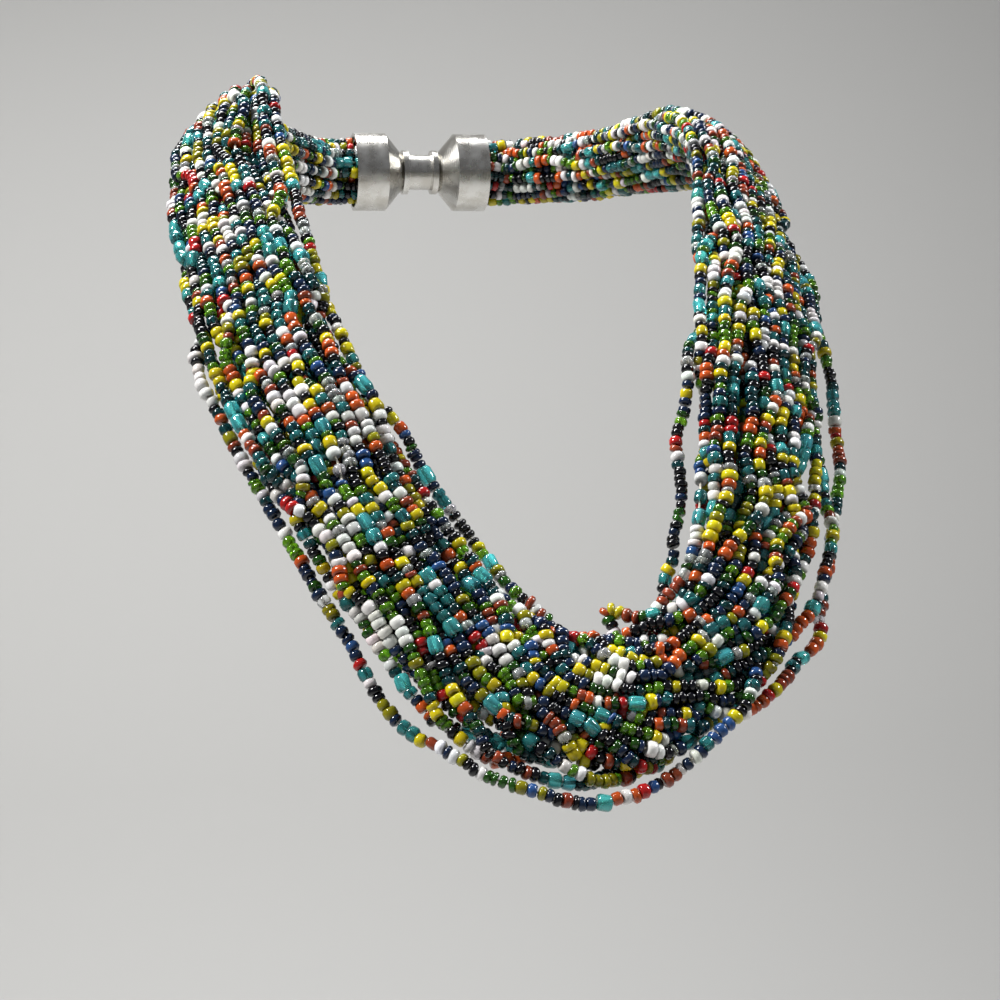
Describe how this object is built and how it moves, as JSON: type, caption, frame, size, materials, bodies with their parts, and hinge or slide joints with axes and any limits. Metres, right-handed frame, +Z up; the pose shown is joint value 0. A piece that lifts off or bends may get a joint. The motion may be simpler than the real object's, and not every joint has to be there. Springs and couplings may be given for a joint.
{
  "type": "multi strand seed bead necklace",
  "caption": "Multi strand necklace of small mixed glass seed beads, worn form, gathered into a plain cup-ended clasp at the nape.",
  "frame": {"origin": "the point on the nape where the clasp's two cups lie against the back of the neck, midway between them", "axes": "+Z up as worn, -Y towards the front of the neck, +X towards the viewer's right when the necklace is seen from the front"},
  "size_m": [0.1489, 0.1912, 0.1795],
  "materials": {
    "bead_glass": "glossy opaque and transparent glass seed beads in mixed colours",
    "bead_thread": "pale twisted beading thread",
    "clasp_metal": "plain satin silver-coloured metal"
  },
  "bodies": {
    "root": {"bead_bundle": "bead_glass", "loose_strand_lower": "bead_glass", "loose_strand_right": "bead_glass", "loose_strand_right_second": "bead_glass", "loose_strand_inner_left": "bead_glass", "loose_strand_inner_right": "bead_glass", "clasp": "clasp_metal"}
  },
  "joints": []
}
